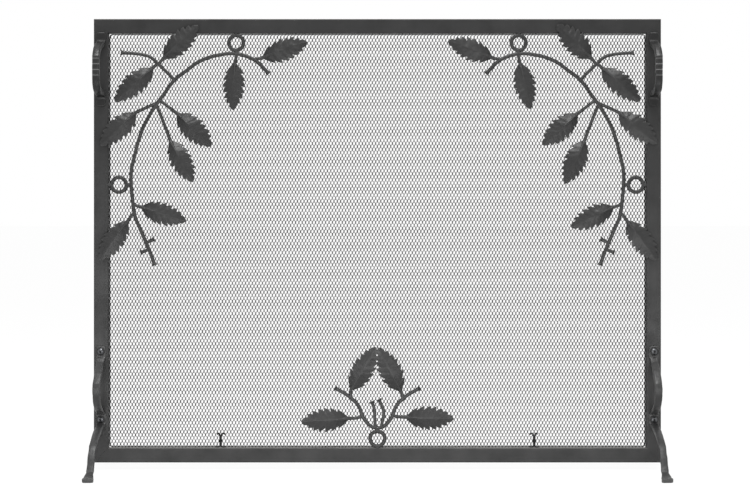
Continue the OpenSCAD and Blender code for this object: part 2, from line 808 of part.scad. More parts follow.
module front_left_leg() { leg(-1, false); }
module front_right_leg() { leg(1, false); }
module rear_left_leg() { leg(-1, true); }
module rear_right_leg() { leg(1, true); }

// ---------- Bolts, washers and nuts ----------

front_pad_y = front_y - pad_t;
rear_pad_y = back_y + band_t + pad_t;
thread_out = 1.5;

module bolt_places() {
    for (side = [-1, 1], z = [lower_bolt_z, upper_bolt_z])
        translate([side * stile_x, 0, z])
            children();
}

// A button head on the plane z = 0 with a hexagon socket
module button_head() {
    dome_r = (head_d * head_d / 4 + head_h * head_h) / (2 * head_h);
    difference() {
        intersection() {
            translate([0, 0, head_h - dome_r]) sphere(dome_r);
            cylinder(h = head_h, d = head_d);
        }
        translate([0, 0, 0.4 * head_h])
            cylinder(h = head_h, d = socket_af / cos(30), $fn = 6);
    }
}

module leg_bolts() {
    seat_y = front_pad_y - washer_t;
    color(bright_steel)
    bolt_places()
        translate([0, seat_y, 0])
            rotate([90, 0, 0]) {
                button_head();
                mirror([0, 0, 1])
                    cylinder(h = rear_pad_y + washer_t + nut_h + thread_out - seat_y, d = bolt_d);
            }
}

module leg_washers() {
    color(steel)
    bolt_places()
        for (y = [front_pad_y - washer_t, rear_pad_y])
            translate([0, y + washer_t, 0])
                rotate([90, 0, 0])
                    difference() {
                        cylinder(h = washer_t, d = washer_d);
                        translate([0, 0, -1])
                            cylinder(h = washer_t + 2, d = bolt_d + 2 * hole_gap);
                    }
}

module leg_nuts() {
    color(bright_steel)
    bolt_places()
        translate([0, rear_pad_y + washer_t + nut_h, 0])
            rotate([90, 0, 0])
                difference() {
                    cylinder(h = nut_h, d = nut_af / cos(30), $fn = 6);
                    translate([0, 0, -1])
                        cylinder(h = nut_h + 2, d = bolt_d + 2 * hole_gap);
                }
}

// ---------- Nodes ----------

frame_top_rail();
frame_bottom_rail();
frame_left_stile();
frame_right_stile();
woven_mesh();
mesh_band_top();
mesh_band_bottom();
mesh_band_left();
mesh_band_right();
mesh_band_screws();
left_mesh_tie();
right_mesh_tie();
corner_vine(false);  // left_vine
corner_vine(true);  // right_vine
corner_twig(false);  // left_twig
corner_twig(true);  // right_twig
corner_nubs(false);  // left_nubs
corner_nubs(true);  // right_nubs
corner_top_ring(false);  // left_top_ring
corner_top_ring(true);  // right_top_ring
corner_side_ring(false);  // left_side_ring
corner_side_ring(true);  // right_side_ring
for (n = [1:9]) corner_leaf(n, false);
for (n = [1:9]) corner_leaf(n, true);
bottom_ring();
sprig_stem(true);  // bottom_left_stem
sprig_stem(false);  // bottom_right_stem
bottom_twigs();
for (n = [1:4]) sprig_leaf(n);
left_handle();
right_handle();
front_left_leg();
front_right_leg();
rear_left_leg();
rear_right_leg();
leg_bolts();
leg_washers();
leg_nuts();
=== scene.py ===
import math
import random

import bmesh
import bpy
from mathutils import Matrix, Vector


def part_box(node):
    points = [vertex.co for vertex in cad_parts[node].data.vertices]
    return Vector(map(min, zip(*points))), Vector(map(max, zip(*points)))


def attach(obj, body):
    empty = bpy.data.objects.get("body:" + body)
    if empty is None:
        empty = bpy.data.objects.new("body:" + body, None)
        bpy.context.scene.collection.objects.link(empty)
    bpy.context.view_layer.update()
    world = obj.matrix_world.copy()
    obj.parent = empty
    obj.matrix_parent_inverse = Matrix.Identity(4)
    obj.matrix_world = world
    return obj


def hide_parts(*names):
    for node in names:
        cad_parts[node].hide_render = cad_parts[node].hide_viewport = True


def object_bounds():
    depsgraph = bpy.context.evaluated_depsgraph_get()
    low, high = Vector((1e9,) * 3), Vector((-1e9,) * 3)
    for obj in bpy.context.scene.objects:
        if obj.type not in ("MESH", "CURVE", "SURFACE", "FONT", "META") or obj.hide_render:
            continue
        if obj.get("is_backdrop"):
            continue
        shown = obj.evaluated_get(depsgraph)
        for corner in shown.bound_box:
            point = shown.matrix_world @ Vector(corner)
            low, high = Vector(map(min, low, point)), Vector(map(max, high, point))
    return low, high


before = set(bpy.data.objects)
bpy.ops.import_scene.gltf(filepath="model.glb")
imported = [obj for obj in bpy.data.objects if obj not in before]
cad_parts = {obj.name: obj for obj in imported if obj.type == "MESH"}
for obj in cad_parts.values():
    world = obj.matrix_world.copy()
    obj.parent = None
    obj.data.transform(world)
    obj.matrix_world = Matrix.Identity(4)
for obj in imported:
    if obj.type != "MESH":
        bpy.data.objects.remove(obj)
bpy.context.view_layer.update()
MM = 0.001

# ---------- Floor, light and camera ----------
# A pale studio floor takes the screen's soft shadow under a white surround. A large soft
# lamp hangs overhead, a small one stands at each side, and a low strip lights the feet.
# The camera stands level in front.


def linear(code):
    """An sRGB hex colour as the linear colour that a shader takes."""
    parts = [int(code[i:i + 2], 16) / 255 for i in (0, 2, 4)]
    return [c / 12.92 if c <= 0.04045 else ((c + 0.055) / 1.055) ** 2.4 for c in parts] + [1]


def add(tree, kind, inputs=(), **settings):
    """Adds a node with its settings, and with a value or a link in each named input."""
    made = tree.nodes.new("ShaderNode" + kind)
    for name, value in settings.items():
        setattr(made, name, value)
    for name, value in dict(inputs).items():
        if isinstance(value, bpy.types.NodeSocket):
            tree.links.new(value, made.inputs[name])
        else:
            made.inputs[name].default_value = value
    return made


def seen_directly(tree):
    """1 for a ray from the camera, or one that a gloss or a clear piece sends on."""
    path = add(tree, "LightPath")
    either = add(tree, "Math", {0: path.outputs["Is Camera Ray"], 1: path.outputs["Is Glossy Ray"]},
                 operation="MAXIMUM")
    return add(tree, "Math", {0: either.outputs[0], 1: path.outputs["Is Transmission Ray"]},
               operation="MAXIMUM").outputs[0]


studio = bpy.context.scene.world or bpy.data.worlds.new("studio")
bpy.context.scene.world = studio
studio.use_nodes = True
tree = studio.node_tree
tree.nodes.clear()
room = add(tree, "Background", {"Color": linear("ffffff"), "Strength": 0.95})
surround = add(tree, "Background", {"Color": linear("ffffff"), "Strength": 1.0})
both = add(tree, "MixShader", {0: seen_directly(tree), 1: room.outputs[0], 2: surround.outputs[0]})
add(tree, "OutputWorld", {"Surface": both.outputs[0]})

# Matt white studio floor: it reads as white paper and keeps a trace of the shadow
paper = bpy.data.materials.new("matt_white_floor")
paper.use_nodes = True
tree = paper.node_tree
tree.nodes.clear()
matt = add(tree, "BsdfDiffuse", {"Color": linear("f4f4f4")})
glow = add(tree, "Emission", {"Color": linear("ffffff"), "Strength": 1.0})
share = add(tree, "Math", {0: seen_directly(tree), 1: 0.9}, operation="MULTIPLY")
both = add(tree, "MixShader", {0: share.outputs[0], 1: matt.outputs[0], 2: glow.outputs[0]})
add(tree, "OutputMaterial", {"Surface": both.outputs[0]})

FLOOR_SIZE = 60
bpy.ops.object.select_all(action="DESELECT")
bpy.ops.mesh.primitive_plane_add(size=FLOOR_SIZE)
floor = bpy.context.object
floor.name = "studio_floor"
floor.data.materials.append(paper)
floor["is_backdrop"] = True

LAMPS = [
    # name, place, width, height, power, where it points
    ("left_softbox", (-2.2, -2.0, 0.6), 0.7, 0.7, 3.2, (0, 0, 0.25)),
    ("right_softbox", (2.2, -2.0, 0.4), 0.7, 0.7, 2.6, (0, 0, 0.25)),
    ("top_softbox", (0, -0.8, 3.0), 1.6, 1.0, 85, (0, -0.2, 0)),
    ("low_strip", (0, -0.7, 0.13), 1.5, 0.2, 5.6, (0, 0, 0.04)),
]
for name, place, width, height, power, target in LAMPS:
    bpy.ops.object.light_add(type="AREA", location=place)
    lamp = bpy.context.object
    lamp.name = name
    lamp.data.shape = "RECTANGLE"
    lamp.data.size, lamp.data.size_y = width, height
    lamp.data.energy = power
    lamp.rotation_euler = (Vector(target) - Vector(place)).to_track_quat("-Z", "Y").to_euler()

CAMERA_ASIDE = -0.0042
CAMERA_DISTANCE = 3.0005
CAMERA_HEIGHT = 0.4687
CAMERA_LENS = 82.5
CAMERA_SHIFT = -0.0647
front_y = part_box("frame_top_rail")[0].y
bpy.ops.object.camera_add(location=(CAMERA_ASIDE, front_y - CAMERA_DISTANCE, CAMERA_HEIGHT),
                          rotation=(math.pi / 2, 0, 0))
camera = bpy.context.object
camera.data.lens = CAMERA_LENS
camera.data.shift_y = CAMERA_SHIFT
bpy.context.scene.camera = camera
bpy.context.scene.view_settings.view_transform = "Standard"

# ---------- Frame and its paint ----------
# Four lengths of rectangular steel tube, mitred and welded, then powder coated a satin
# graphite. The tube keeps its rolled corners, where the paint lies thinner.


def painted_steel(name, colour, mark_colour, roughness, dent_mm, dent, mottle=0.25, painted_top_highlight=0.0):
    """Powder coat over steel. Dents dent_mm across and dent deep, in mm, are the hammer's.
    painted_top_highlight is the share of a pale painted highlight on the faces that look up."""
    made = bpy.data.materials.new(name)
    made.use_nodes = True
    tree = made.node_tree
    tree.nodes.clear()
    where = add(tree, "TexCoord").outputs["Object"]
    # The paint's own texture is 0.4 mm across; it is drawn 1.2 mm across so that it shows
    peel = add(tree, "TexNoise", {"Vector": where, "Scale": 1 / (1.2 * MM), "Detail": 3.0})
    dents = add(tree, "TexNoise", {"Vector": where, "Scale": 1 / (dent_mm * MM), "Detail": 2.0,
                                   "Roughness": 0.45})
    clouds = add(tree, "TexNoise", {"Vector": where, "Scale": 1 / (45 * MM), "Detail": 4.0,
                                    "Roughness": 0.6})
    # Where the true normal and a rounded one part is an edge
    soft = add(tree, "Bevel", {"Radius": 0.9 * MM}, samples=4)
    shape = add(tree, "NewGeometry")
    along = add(tree, "VectorMath", {0: soft.outputs[0], 1: shape.outputs["Normal"]},
                operation="DOT_PRODUCT")
    edge = add(tree, "MapRange", {"Value": along.outputs["Value"], "From Min": 0.995,
                                  "From Max": 0.87, "To Min": 0.0, "To Max": 0.75})
    # A ridge that the hammer left gets the worn edges' paler colour as a painted highlight
    ridge_highlight = add(tree, "MapRange", {"Value": shape.outputs["Pointiness"], "From Min": 0.52,
                                   "From Max": 0.62, "To Min": 0.0, "To Max": 1.1})
    wear_and_highlight_at = add(tree, "Math", {0: edge.outputs[0], 1: ridge_highlight.outputs[0]}, operation="MAXIMUM")
    wear_and_highlight = add(tree, "Math", {0: wear_and_highlight_at.outputs[0], 1: clouds.outputs[0]}, operation="MULTIPLY")
    spread = add(tree, "MapRange", {"Value": clouds.outputs[0], "From Min": 0.3, "From Max": 0.7,
                                    "To Min": 1 - mottle, "To Max": 1 + mottle})
    tone = add(tree, "Mix", {0: 1.0, 6: linear(colour), 7: spread.outputs[0]},
               data_type="RGBA", blend_type="MULTIPLY")
    # Worn edges and painted highlights on the ridges both take mark_colour
    skin = add(tree, "Mix", {0: wear_and_highlight.outputs[0], 6: tone.outputs[2], 7: linear(mark_colour)},
               data_type="RGBA")
    # A pale painted highlight where a face looks up, standing in for light from above
    upright = add(tree, "SeparateXYZ", {0: shape.outputs["Normal"]})
    top_highlight_share = add(tree, "MapRange", {"Value": upright.outputs["Z"], "From Min": 0.7,
                                     "From Max": 0.95, "To Min": 0.0, "To Max": painted_top_highlight})
    top_highlit = add(tree, "Mix", {0: top_highlight_share.outputs[0], 6: skin.outputs[2], 7: linear("b4b2ae")},
                data_type="RGBA")
    sheen = add(tree, "MapRange", {"Value": clouds.outputs[0], "From Min": 0.3, "From Max": 0.7,
                                   "To Min": roughness + 0.08, "To Max": roughness - 0.08})
    dented = add(tree, "Bump", {"Height": dents.outputs[0], "Strength": 1.0,
                                "Distance": dent * MM, "Normal": soft.outputs[0]})
    peeled = add(tree, "Bump", {"Height": peel.outputs[0], "Strength": 0.5, "Distance": 0.05 * MM,
                                "Normal": dented.outputs[0]})
    coat = add(tree, "BsdfPrincipled", {"Base Color": top_highlit.outputs[2], "IOR": 1.34,
                                        "Roughness": sheen.outputs[0],
                                        "Normal": peeled.outputs[0]})
    add(tree, "OutputMaterial", {"Surface": coat.outputs[0]})
    return made


def finish_with(piece, material):
    """Gives a new piece its finish and its place on the body."""
    piece.data.materials.clear()
    piece.data.materials.append(material)
    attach(piece, "root")


def repaint(node, material):
    """Gives a CAD node that stays a better material."""
    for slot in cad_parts[node].material_slots:
        slot.material = material


# Satin graphite powder coat on smooth rolled tube: dark, even, with a soft broad gloss, and a pale
# painted highlight on its faces that look up
tube_paint = painted_steel("satin_powder_coat_on_tube", "131313", "2c2c2c", 0.5, 60, 0.05,
                           painted_top_highlight=0.24)
for node in ("frame_top_rail", "frame_bottom_rail", "frame_left_stile", "frame_right_stile"):
    repaint(node, tube_paint)

# ---------- Mesh bands ----------
# Folded sheet-steel strips behind the tube that grip the edge of the mesh. They are
# painted with the frame and screwed to it from the back.

band_paint = painted_steel("powder_coat_on_folded_sheet", "131313", "2c2c2c", 0.55, 25, 0.08)
for side in ("top", "bottom", "left", "right"):
    repaint("mesh_band_" + side, band_paint)


def plated_steel(name, colour, mark_colour, roughness):
    """Zinc-plated steel, turned and then tumbled."""
    made = bpy.data.materials.new(name)
    made.use_nodes = True
    tree = made.node_tree
    tree.nodes.clear()
    where = add(tree, "TexCoord").outputs["Object"]
    # Tool marks 0.6 mm apart, and handling stains a few millimetres across
    marks = add(tree, "TexNoise", {"Vector": where, "Scale": 1 / (0.6 * MM), "Detail": 2.0})
    stains = add(tree, "TexNoise", {"Vector": where, "Scale": 1 / (4 * MM), "Detail": 4.0})
    tone = add(tree, "Mix", {0: stains.outputs[0], 6: linear(colour), 7: linear(mark_colour)},
               data_type="RGBA")
    sheen = add(tree, "MapRange", {"Value": stains.outputs[0], "From Min": 0.3, "From Max": 0.7,
                                   "To Min": roughness - 0.08, "To Max": roughness + 0.12})
    soft = add(tree, "Bevel", {"Radius": 0.3 * MM}, samples=4)
    lines = add(tree, "Bump", {"Height": marks.outputs[0], "Strength": 0.4, "Distance": 0.05 * MM,
                               "Normal": soft.outputs[0]})
    metal = add(tree, "BsdfPrincipled", {"Base Color": tone.outputs[2], "Metallic": 1.0,
                                         "Roughness": sheen.outputs[0], "Normal": lines.outputs[0]})
    add(tree, "OutputMaterial", {"Surface": metal.outputs[0]})
    return made


# Dull zinc on the screws at the back: pale grey with darker handling stains
screw_zinc = plated_steel("zinc_plated_screw_steel", "8d8f92", "5c5e60", 0.4)
repaint("mesh_band_screws", screw_zinc)

# ---------- Woven mesh ----------
# Drawn and annealed steel wire, bent to and fro and hooked into its neighbour at every
# bend, then dipped black. Its edges lie in the slots of the bands.


def bent_bar(name, points, depth, radii=None, sides=12, steps=6, straight=False):
    """A round bar through the points, its radius at each a share of the depth given."""
    bpy.ops.object.select_all(action="DESELECT")
    bpy.ops.curve.primitive_bezier_curve_add()
    bar = bpy.context.object
    bar.name = name
    spline = bar.data.splines[0]
    spline.bezier_points.add(len(points) - 2)
    for i, (knot, point) in enumerate(zip(spline.bezier_points, points)):
        knot.handle_left_type = knot.handle_right_type = "VECTOR" if straight else "AUTO"
        knot.co = point
        knot.radius = radii[i] if radii else 1
    bar.data.bevel_depth = depth
    bar.data.bevel_resolution = (sides - 4) // 2
    bar.data.resolution_u = 1 if straight else steps
    bar.data.use_fill_caps = True
    bpy.ops.object.convert(target="MESH")
    return bpy.context.object


def apply_modifiers(piece):
    """Fixes every modifier into the mesh, in order."""
    bpy.context.view_layer.objects.active = piece
    for modifier in list(piece.modifiers):
        bpy.ops.object.modifier_apply(modifier=modifier.name)


def join(name, pieces):
    """Makes one object of several, with the name given."""
    bpy.ops.object.select_all(action="DESELECT")
    for piece in pieces:
        piece.select_set(True)
    bpy.context.view_layer.objects.active = pieces[0]
    bpy.ops.object.join()
    bpy.context.object.name = name
    return bpy.context.object


def uneven(piece, name, size_mm, strength_mm, along="NORMAL"):
    """Moves the surface a little by a soft pattern fixed in space."""
    texture = bpy.data.textures.new(name, "CLOUDS")
    texture.cloud_type = "COLOR" if along == "RGB_TO_XYZ" else "GRAYSCALE"
    texture.noise_scale = size_mm * MM
    texture.noise_depth = 1
    shift = piece.modifiers.new(name, "DISPLACE")
    shift.texture = texture
    shift.texture_coords = "LOCAL"
    shift.direction = along
    shift.strength = strength_mm * MM
    shift.mid_level = 0.5


WIRE = 1.2
PITCH_X = 5.85
PITCH_Z = 10.65
HOOK = 0.42        # how far a bend reaches past the middle of its knot
BELLY = 0.12       # and how much further its middle does
BEND_H = 1.55      # half the height of a bend
LEAN = 0.14        # the bends lean a little to the right
LAYER = 0.6        # the strands lie this far in front of and behind the middle
GRIPPED = 6.5      # this much of the mesh lies in the bands on each side
MESH_STRIPS = 6

mesh_low, mesh_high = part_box("woven_mesh")
inner_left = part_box("frame_left_stile")[1].x
inner_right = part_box("frame_right_stile")[0].x
inner_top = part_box("frame_top_rail")[0].z
inner_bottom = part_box("frame_bottom_rail")[1].z
mesh_y = (mesh_low.y + mesh_high.y) / 2
periods = int((inner_top - inner_bottom + 2 * GRIPPED * MM) / (PITCH_Z * MM))
pairs = int((inner_right - inner_left + 2 * GRIPPED * MM) / (PITCH_X * MM))


def wire_path(x, z):
    """A whole wire whose middle is at x: its bends to the right and left in turn."""
    out = PITCH_X / 4 + HOOK
    places = []
    for n in range(2 * periods - 1):
        side = 1 if n % 2 == 0 else -1
        for up in (-1, 0, 1):
            places.append(((x + side * (out + (BELLY if up == 0 else 0)) + up * LEAN) * MM,
                           mesh_y - side * up * LAYER * MM,
                           (z + n * PITCH_Z / 2 + up * BEND_H) * MM))
    return places


left_edge = (inner_left + inner_right) / 2 / MM - pairs * PITCH_X / 2
foot_edge = (inner_bottom + inner_top) / 2 / MM - (periods - 1) * PITCH_Z / 2
wires = []
for n in (0, 1):
    line = wire_path(left_edge + (n + 0.5) * PITCH_X / 2, foot_edge - n * PITCH_Z / 2)
    wires.append(bent_bar(f"wire_{n}", line, WIRE / 2 * MM, sides=4, straight=True))
wire_pair = join("wire_pair", wires)

# Black oxide on annealed wire: nearly black, with a faint grey gloss on the raised strands
wire_black = painted_steel("black_annealed_wire", "222222", "444444", 0.5, 3, 0.02)
done = 0
for n in range(MESH_STRIPS):
    count = (pairs - done) // (MESH_STRIPS - n)
    strip = wire_pair.copy()
    strip.data = wire_pair.data.copy()
    strip.name = f"mesh_strip_{n + 1}"
    bpy.context.scene.collection.objects.link(strip)
    strip.data.transform(Matrix.Translation((done * PITCH_X * MM, 0, 0)))
    row = strip.modifiers.new("wires", "ARRAY")
    row.count = count
    row.use_relative_offset = False
    row.use_constant_offset = True
    row.constant_offset_displace = (PITCH_X * MM, 0, 0)
    uneven(strip, "loose_weave", 26, 0.7, "RGB_TO_XYZ")
    apply_modifiers(strip)
    finish_with(strip, wire_black)
    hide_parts("woven_mesh")
    done += count
bpy.data.objects.remove(wire_pair)

# One thicker wire runs round the opening and closes the edge of the mesh. Its two ends meet
# in the middle of the bottom rail.
SELVEDGE = 1.7
SELVEDGE_IN = 1.0      # its middle stands this far into the opening
CORNER_BEND = 4.0
END_GAP = 0.1
edge_y = mesh_y - (LAYER + WIRE / 2 + SELVEDGE / 2) * MM
bend = CORNER_BEND * MM
bend_in = (SELVEDGE_IN + CORNER_BEND) * MM
bend_left, bend_right = inner_left + bend_in, inner_right - bend_in
bend_low, bend_high = inner_bottom + bend_in, inner_top - bend_in
meet_x = (inner_left + inner_right) / 2
edge_path = [(meet_x, edge_y, bend_low - bend)]
for quarter, (x, z) in enumerate(((bend_right, bend_low), (bend_right, bend_high),
                                  (bend_left, bend_high), (bend_left, bend_low))):
    for n in range(4):
        turned = math.radians(90 * quarter - 90 + 30 * n)
        edge_path.append((x + bend * math.cos(turned), edge_y, z + bend * math.sin(turned)))
edge_path.append((meet_x - END_GAP * MM, edge_y, bend_low - bend))
# Black oxide on a thicker wire that the weaver's rollers left smoother, darker than the mesh:
# painted shade along the frame's inner edge, where the mesh meets the tube
selvedge_black_and_shade = painted_steel("black_selvedge_wire_darkened_as_shade", "0d0d0d", "2a2a2a", 0.5, 3, 0.02)
selvedge = bent_bar("mesh_selvedge_wire", edge_path, SELVEDGE / 2 * MM, sides=8, straight=True)
finish_with(selvedge, selvedge_black_and_shade)
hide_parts("woven_mesh")

# ---------- Mesh ties ----------
# Two short black wires twisted together in front of the mesh hold it down to the bottom
# rail. Each pair ends in two arms that are hooked through the mesh.

TIE_WIRE = 2.6
TIE_TURNS = 3
TIE_TOP = 19.5         # where the twist ends and the arms part
TIE_FOOT = 8           # each wire's foot lies this far out on the rail
# Plain black oxide, darker and duller than on the mesh
tie_black = painted_steel("black_annealed_tie_wire", "060606", "121212", 0.6, 2, 0.02)


def tie(side, arms):
    """Two twisted wires; arms holds how far each arm reaches and how far its end drops."""
    low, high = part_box(side + "_mesh_tie")
    # The twist stands just in front of the edge wire, and its arms reach back into the mesh
    middle, y = (low.x + high.x) / 2, edge_y - (SELVEDGE / 2 + 1.02 * TIE_WIRE) * MM
    back = (mesh_y - y) / MM
    strands = []
    for s, (reach, drop) in zip((-1, 1), arms):
        path = [(s * TIE_FOOT, 0, 0.3), (s * 2.5, 0, 0.1)]
        for k in range(8 * TIE_TURNS + 1):
            a, r = math.tau * k / 8, s * 0.52 * TIE_WIRE
            path.append((r * math.cos(a), r * math.sin(a),
                         1.5 + (TIE_TOP - 1.5) * k / (8 * TIE_TURNS)))
        path += [(s * 1.6, 0.2, TIE_TOP + 2.0), (s * reach * 0.6, 0, TIE_TOP + 3.6),
                 (s * reach, back * 0.45, TIE_TOP + 3.4 - drop * 0.3),
                 (s * (reach + 1.2), back, TIE_TOP + 2.6 - drop)]
        line = [(middle + p[0] * MM, y + p[1] * MM, low.z + (TIE_WIRE / 2 + p[2]) * MM)
                for p in path]
        strands.append(bent_bar("strand", line, TIE_WIRE / 2 * MM, sides=8, steps=3))
    pair = join(side + "_tie_wires", strands)
    finish_with(pair, tie_black)
    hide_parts(side + "_mesh_tie")


tie("left", [(4.6, 1.2), (5.2, 1.0)])
tie("right", [(4.8, 1.3), (4.4, 0.9)])

# ---------- Vines, twigs, rings and stems ----------
# Round bar, bent cold, hammered out flat at its free ends, and welded where one bar meets
# another. Rings are bent round and butt-welded. All of it is painted with the frame.

ROD = 6.4
TWIG = 5.7
ROD_BACK = 3.4         # the middle of the rods lies this far behind the frame's face
FLARE = 5.0
# A hammered end: share of the flare's length from the tip, and share of the bar's radius
FLARE_STEPS = [(1, 1), (0.6, 1.18), (0.3, 1.55), (0.08, 1.9), (0, 1.72)]
rod_y = front_y + ROD_BACK * MM
# The frame's powder coat on round bar: a narrow line of gloss along it, broken by the dents
rod_paint = painted_steel("satin_powder_coat_on_bent_bar", "232323", "484848", 0.46, 5, 0.35)


def from_stile(side):
    """Places in mm inward from the stile and down from the top rail, on either side."""
    start = inner_left if side == "left" else inner_right
    across = 1 if side == "left" else -1
    return lambda p, out=0.0: Vector((start + across * p[0] * MM, rod_y - out * MM,
                                      inner_top - p[1] * MM))


def from_rail(side):
    """Places in mm from the screen's middle and up from the bottom rail, on either side."""
    across = 1 if side == "right" else -1
    return lambda p, out=0.0: Vector((across * p[0] * MM, rod_y - out * MM,
                                      inner_bottom + p[1] * MM))


def with_flare(points):
    """Adds the short steps of a hammered end, and gives every point's share of the radius."""
    end, before = Vector(points[-1]), Vector(points[-2])
    back = (before - end).normalized()
    steps = [end + back * FLARE * s for s, _ in FLARE_STEPS]
    shares = [1] * (len(points) - 1) + [share for _, share in FLARE_STEPS]
    return list(points[:-1]) + steps, shares


def hammer_flat(bar, end):
    """Flattens the flared end of a bar in two blows, the second nearer to its tip."""
    bpy.context.view_layer.objects.active = bar
    bpy.ops.object.mode_set(mode="EDIT")
    bpy.ops.mesh.select_all(action="DESELECT")
    mesh = bmesh.from_edit_mesh(bar.data)
    for near, squash in ((4.3, 0.8), (3.1, 0.625)):
        for vert in mesh.verts:
            vert.select = (vert.co - end).length < near * MM
        mesh.select_flush_mode()
        bmesh.update_edit_mesh(bar.data)
        bpy.ops.transform.resize(value=(1, squash, 1), center_override=end)
    bpy.ops.object.mode_set(mode="OBJECT")


def smoothed(piece, angle=35):
    """Shades smooth across every edge that is flatter than the angle."""
    bpy.ops.object.select_all(action="DESELECT")
    piece.select_set(True)
    bpy.context.view_layer.objects.active = piece
    bpy.ops.object.shade_smooth_by_angle(angle=math.radians(angle))


def forged_rod(name, points, place, diameter, flare_start=False):
    """A bar with a hammered end at its last point, and at its first if asked."""
    line, shares = with_flare([Vector(p) for p in points])
    if flare_start:
        line, more = with_flare(line[::-1])
        line, shares = line[::-1], more[-len(FLARE_STEPS):][::-1] + shares[1:]
    bar = bent_bar(name, [place(p) for p in line], diameter / 2 * MM, shares)
    hammer_flat(bar, place(points[-1]))
    if flare_start:
        hammer_flat(bar, place(points[0]))
    uneven(bar, "hammer_marks", 9, 0.22)
    apply_modifiers(bar)
    smoothed(bar)
    return bar


def weld_bead(at, size, stretch=(1, 1, 1)):
    """A lump of weld metal, a little uneven, round a joint."""
    bpy.ops.mesh.primitive_ico_sphere_add(subdivisions=3, radius=size / 2 * MM, location=at)
    bead = bpy.context.object
    bpy.ops.transform.resize(value=stretch)
    bpy.ops.object.transform_apply(location=True, rotation=True, scale=True)
    uneven(bead, "weld_ripples", 2.2, 0.7)
    apply_modifiers(bead)
    smoothed(bead)
    return bead


# Places in mm in from the stile and down from the top rail
VINE = [(280, 70), (258, 48), (242, 40), (223, 35.2), (195, 37), (161, 47.5), (137, 64),
        (115, 81.5), (98, 104), (85, 122), (67, 151), (54.5, 180), (45.5, 214), (40.1, 238),
        (39.6, 264), (42, 290), (46, 318), (56.5, 344), (69.5, 374), (81, 405)]
TWIG_LINE = [(114, 79.5), (104, 69.5), (87, 53.3), (74, 41.6), (64, 37.6), (22, 33.3)]
NUBS = [[(65, 366), (80, 359)], [(70, 377.5), (56, 382.5)]]
RING_D = 32.2
RING_BAR = 6.5
SIDE_RING_IN = 18.3    # the middle of the side ring, in from the stile


def ring(name, place, centre, welds):
    """A ring of round bar with a weld towards each of the points."""
    bpy.ops.object.select_all(action="DESELECT")
    bpy.ops.mesh.primitive_torus_add(major_radius=(RING_D - RING_BAR) / 2 * MM,
                                     minor_radius=RING_BAR / 2 * MM, major_segments=56,
                                     minor_segments=14, location=place(centre),
                                     rotation=(math.pi / 2, 0, 0))
    hoop = bpy.context.object
    bpy.ops.object.transform_apply(location=True, rotation=True, scale=True)
    uneven(hoop, "bent_round", 9, 0.5)
    apply_modifiers(hoop)
    smoothed(hoop)
    beads = [weld_bead(place(p), ROD + 0.6, (1, 0.95, 1)) for p in welds]
    piece = join(name, [hoop] + beads)
    finish_with(piece, rod_paint)
    return piece


for side in ("left", "right"):
    place = from_stile(side)
    vine = forged_rod(side + "_vine_bar", VINE, place, ROD, flare_start=True)
    finish_with(vine, rod_paint)
    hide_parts(side + "_vine")
    twig = forged_rod(side + "_twig_bar", TWIG_LINE, place, TWIG)
    twig = join(side + "_twig_bar", [twig, weld_bead(place((114, 82)), ROD + 1, (1, 0.9, 1))])
    finish_with(twig, rod_paint)
    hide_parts(side + "_twig")
    nubs = []
    for (x0, z0), (x1, z1) in NUBS:
        line = [(x0, z0), ((x0 + x1) / 2, (z0 + z1) / 2), (x1, z1)]
        nubs.append(forged_rod("nub", line, place, TWIG))
    nubs = join(side + "_nub_bars", nubs)
    finish_with(nubs, rod_paint)
    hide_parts(side + "_nubs")
    top = ring(side + "_top_hoop", place, (223, RING_D / 2), [(223, 0.6), (223, RING_D)])
    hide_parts(side + "_top_ring")
    edge = ring(side + "_side_hoop", place, (SIDE_RING_IN, 264), [(1.4, 264), (35.4, 264)])
    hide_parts(side + "_side_ring")

# Places in mm out from the screen's middle and up from the bottom rail
STEM = [(0.6, 34.9), (6, 35.6), (13, 39), (21, 47.5), (27, 57.5), (30.5, 68.5), (36, 77.5),
        (44.5, 85.5), (53, 92.5), (63, 98.5), (75, 105)]
SPRIG = {"left": [(3.6, 35.5), (4.5, 50), (5, 62), (6.5, 72), (10, 81)],
         "right": [(6.5, 36), (9, 48), (11, 58.5), (9.5, 70), (2.5, 85)]}
hoop = ring("bottom_hoop", from_rail("right"), (0, RING_D / 2), [(0, 0.6), (0, RING_D)])
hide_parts("bottom_ring")
sprigs = []
for side in ("left", "right"):
    place = from_rail(side)
    stem = forged_rod(f"bottom_{side}_stem_bar", STEM, place, ROD)
    finish_with(stem, rod_paint)
    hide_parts(f"bottom_{side}_stem")
    sprigs.append(forged_rod("sprig", SPRIG[side], place, TWIG))
sprigs = join("bottom_twig_bars", sprigs)
finish_with(sprigs, rod_paint)
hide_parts("bottom_twigs")

# ---------- Leaves ----------
# Each leaf is cut from steel sheet, its teeth filed, then hammered hot over a stake so that
# it folds along the midrib and dips between the veins. A round stalk is welded under it.

LEAF_L = 83.0
LEAF_W = 41.0
TEETH = 7
LEAF_FOLD = 18.0
LEAF_T = 1.3
STALK = 5.8
VEIN_LEAN = 0.45       # the teeth lean this share of the half width towards the tip
LEAF_CLEAR = 2.4       # the folded edges of a blade pass this far in front of the rods
CREST = 0.4            # share of the length at which the blade stands furthest forward
TIP_DROP = 0.3         # share of that height by which the tip comes down again
# Powers of the outline: a low one makes the base round, a higher one makes the tip pointed
BASE_POWER = 0.5
TIP_POWER = 0.85
leaf_lift = ROD / 2 + LEAF_W / 2 * math.tan(math.radians(LEAF_FOLD)) + LEAF_CLEAR
# How deep each notch is cut, from the stalk to the tip, on either side of the midrib
NOTCHES = {-1: (0.20, 0.34, 0.26, 0.35, 0.28, 0.33, 0.38),
           1: (0.24, 0.29, 0.35, 0.26, 0.34, 0.29, 0.36)}


